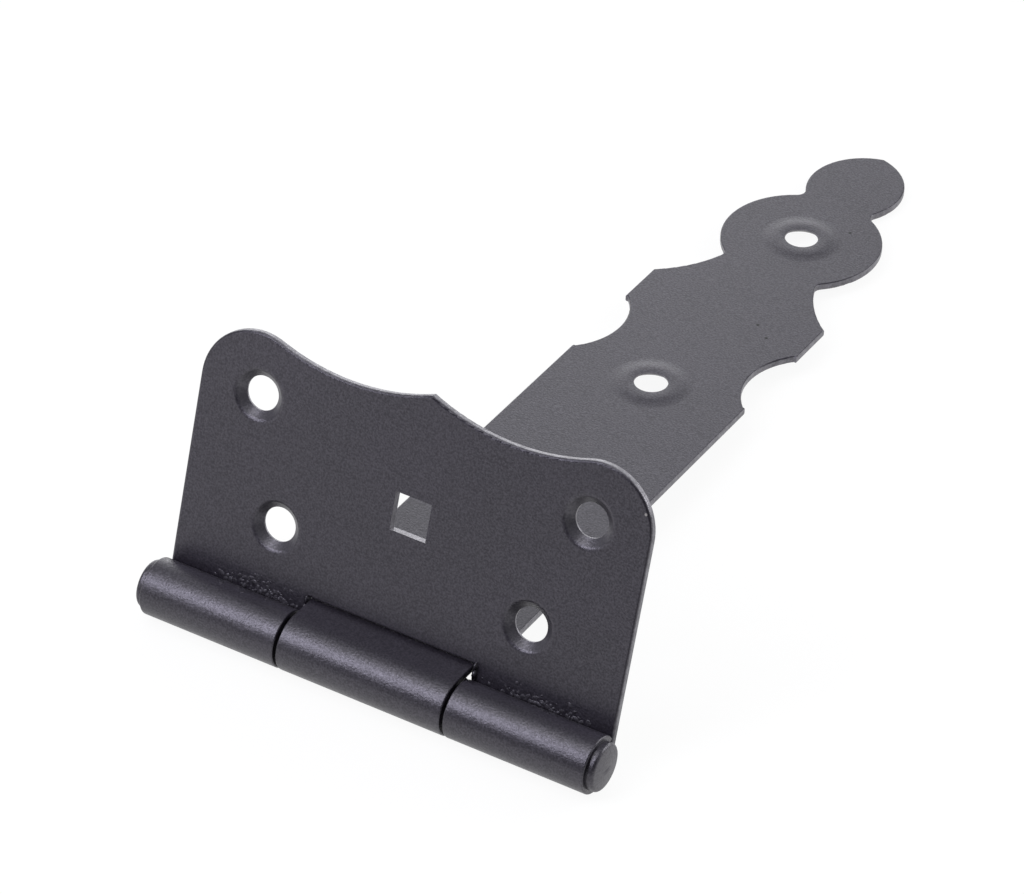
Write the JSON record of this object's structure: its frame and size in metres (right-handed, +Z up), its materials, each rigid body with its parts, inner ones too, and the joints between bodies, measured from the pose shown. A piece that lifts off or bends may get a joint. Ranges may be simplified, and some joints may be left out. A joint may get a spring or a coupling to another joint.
{
  "type": "tee hinge",
  "caption": "Ornamental tee hinge: a wide scalloped plate leaf and a long shaped strap leaf, rolled from black coated steel sheet round one rivet pin.",
  "frame": {"origin": "middle of the footprint, on the surface that the folded hinge stands on", "axes": "+X along the pin, +Y along the strap from the barrel to the tip, +Z up"},
  "size_m": [0.091, 0.1864, 0.0514],
  "materials": {
    "strap_coat": "fine-textured black powder coat",
    "plate_coat": "fine-textured black powder coat",
    "pin_coat": "smooth black powder coat"
  },
  "bodies": {
    "strap": {"strap_leaf": "strap_coat"},
    "plate": {"plate_leaf": "plate_coat", "hinge_pin": "pin_coat"}
  },
  "joints": [
    {"name": "leaf_hinge", "type": "hinge", "parent": "strap", "child": "plate", "pos_m": [0, -0.08797, 0.0052], "axis": [1, 0, 0], "range_deg": [0, 293]}
  ]
}
